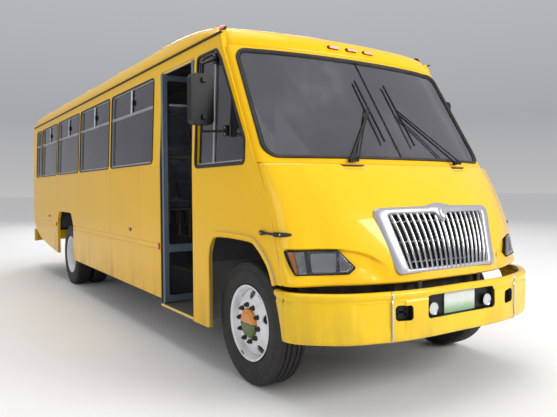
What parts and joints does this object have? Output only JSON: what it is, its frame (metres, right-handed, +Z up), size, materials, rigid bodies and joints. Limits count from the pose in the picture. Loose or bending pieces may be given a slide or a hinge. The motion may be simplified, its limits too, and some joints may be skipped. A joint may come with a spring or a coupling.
{
  "type": "minibus",
  "caption": "Short-nosed city minibus with a tilting front nose, two-leaf folding side door, wide sliding side windows, and steered front and twin rear wheels.",
  "frame": {"origin": "on the ground under the middle of the vehicle's box", "axes": "+Z up, the bus faces -Y, its door side is -X"},
  "size_m": [3.005, 9.95, 3.1059],
  "materials": {
    "body_paint": "gloss golden yellow coach paint",
    "bumper_paint": "gloss yellow paint on moulded bumper",
    "chassis_black": "satin black chassis paint",
    "engine_grey": "painted iron",
    "exhaust_steel": "heat-stained steel",
    "cab_trim": "grained dark grey trim",
    "floor_covering": "ribbed grey floor covering",
    "window_aluminium": "anodised window section",
    "window_glass": "clear safety glass",
    "lamp_lens": "moulded amber and red lens",
    "lamp_clear": "clear headlamp with bright reflector",
    "plate_white": "blank pressed plate",
    "black_plastic": "black moulded plastic",
    "seat_vinyl": "dark seat vinyl",
    "rail_yellow": "yellow powder-coated tube",
    "tyre_rubber": "tyre rubber",
    "wheel_white": "white wheel enamel",
    "door_frame": "blue-grey painted aluminium section",
    "grille_chrome": "bright plated moulding",
    "strap_rubber": "black rubber"
  },
  "bodies": {
    "body": {"chassis_frame": "chassis_black", "frame_members": "chassis_black", "wheel_housings": "cab_trim", "step_well": "floor_covering", "engine": "engine_grey", "engine_cover": "cab_trim", "fuel_tank": "chassis_black", "exhaust": "exhaust_steel", "front_axle": "chassis_black", "rear_axle": "chassis_black", "leaf_springs": "chassis_black", "drive_shaft": "chassis_black", "floor": "floor_covering", "right_lower_panel": "body_paint", "left_lower_panel": "body_paint", "right_window_band": "body_paint", "left_window_band": "body_paint", "right_window_frames": "window_aluminium", "left_window_frames": "window_aluminium", "right_window_glass": "window_glass", "left_window_glass": "window_glass", "right_front_side": "body_paint", "left_front_side": "body_paint", "roof": "body_paint", "front_cap": "body_paint", "windscreen": "window_glass", "rear_wall": "body_paint", "rear_window_glass": "window_glass", "rub_rails": "body_paint", "front_bumper": "bumper_paint", "rear_bumper": "bumper_paint", "lamps": "lamp_lens", "number_plates": "plate_white", "mirrors": "black_plastic", "wipers": "black_plastic", "dashboard": "cab_trim", "steering_wheel": "black_plastic", "driver_seat": "seat_vinyl", "passenger_seats": "seat_vinyl", "grab_rails": "rail_yellow"},
    "right_knuckle": {"right_knuckle": "chassis_black"},
    "left_knuckle": {"left_knuckle": "chassis_black"},
    "tie_rod": {"tie_rod": "chassis_black"},
    "front_right_wheel": {"front_right_tyre": "tyre_rubber", "front_right_wheel": "wheel_white"},
    "front_left_wheel": {"front_left_tyre": "tyre_rubber", "front_left_wheel": "wheel_white"},
    "rear_right_wheels": {"rear_right_tyres": "tyre_rubber", "rear_right_wheels": "wheel_white"},
    "rear_left_wheels": {"rear_left_tyres": "tyre_rubber", "rear_left_wheels": "wheel_white"},
    "front_door": {"front_door_leaf": "door_frame", "front_door_glass": "window_glass"},
    "rear_door": {"rear_door_leaf": "door_frame", "rear_door_glass": "window_glass"},
    "nose": {"nose_shell": "body_paint", "grille": "grille_chrome", "headlamps": "lamp_clear", "nose_latches": "strap_rubber"}
  },
  "joints": [
    {"name": "steer_left", "type": "hinge", "parent": "body", "child": "left_knuckle", "pos_m": [0.945, -3.855, 0.487], "axis": [0, 0, 1], "range_deg": [-32, 32]},
    {"name": "steer_right", "type": "hinge", "parent": "body", "child": "right_knuckle", "pos_m": [-0.945, -3.855, 0.487], "axis": [0, 0, 1], "range_deg": [-32, 32]},
    {"name": "tie_rod_swing", "type": "hinge", "parent": "right_knuckle", "child": "tie_rod", "pos_m": [-0.945, -3.645, 0.382], "axis": [0, 0, 1], "range_deg": [-32, 32]},
    {"name": "front_left_spin", "type": "hinge", "parent": "left_knuckle", "child": "front_left_wheel", "pos_m": [1.047, -3.855, 0.487], "axis": [1, 0, 0], "continuous": true},
    {"name": "front_right_spin", "type": "hinge", "parent": "right_knuckle", "child": "front_right_wheel", "pos_m": [-1.047, -3.855, 0.487], "axis": [1, 0, 0], "continuous": true},
    {"name": "rear_left_spin", "type": "hinge", "parent": "body", "child": "rear_left_wheels", "pos_m": [0.907, 2.025, 0.487], "axis": [1, 0, 0], "continuous": true},
    {"name": "rear_right_spin", "type": "hinge", "parent": "body", "child": "rear_right_wheels", "pos_m": [-0.907, 2.025, 0.487], "axis": [1, 0, 0], "continuous": true},
    {"name": "front_leaf_swing", "type": "hinge", "parent": "body", "child": "front_door", "pos_m": [-1.217, -3.002, 1.5], "axis": [0, 0, 1], "range_deg": [0, 90]},
    {"name": "rear_leaf_swing", "type": "hinge", "parent": "body", "child": "rear_door", "pos_m": [-1.217, -2.263, 1.5], "axis": [0, 0, 1], "range_deg": [-90, 0]},
    {"name": "nose_tilt", "type": "hinge", "parent": "body", "child": "nose", "pos_m": [0, -4.875, 0.8], "axis": [1, 0, 0], "range_deg": [0, 50]}
  ],
  "couplings": [
    {"joint": "steer_right", "follows": "steer_left", "ratio": 1},
    {"joint": "tie_rod_swing", "follows": "steer_left", "ratio": -1},
    {"joint": "rear_leaf_swing", "follows": "front_leaf_swing", "ratio": -1}
  ]
}
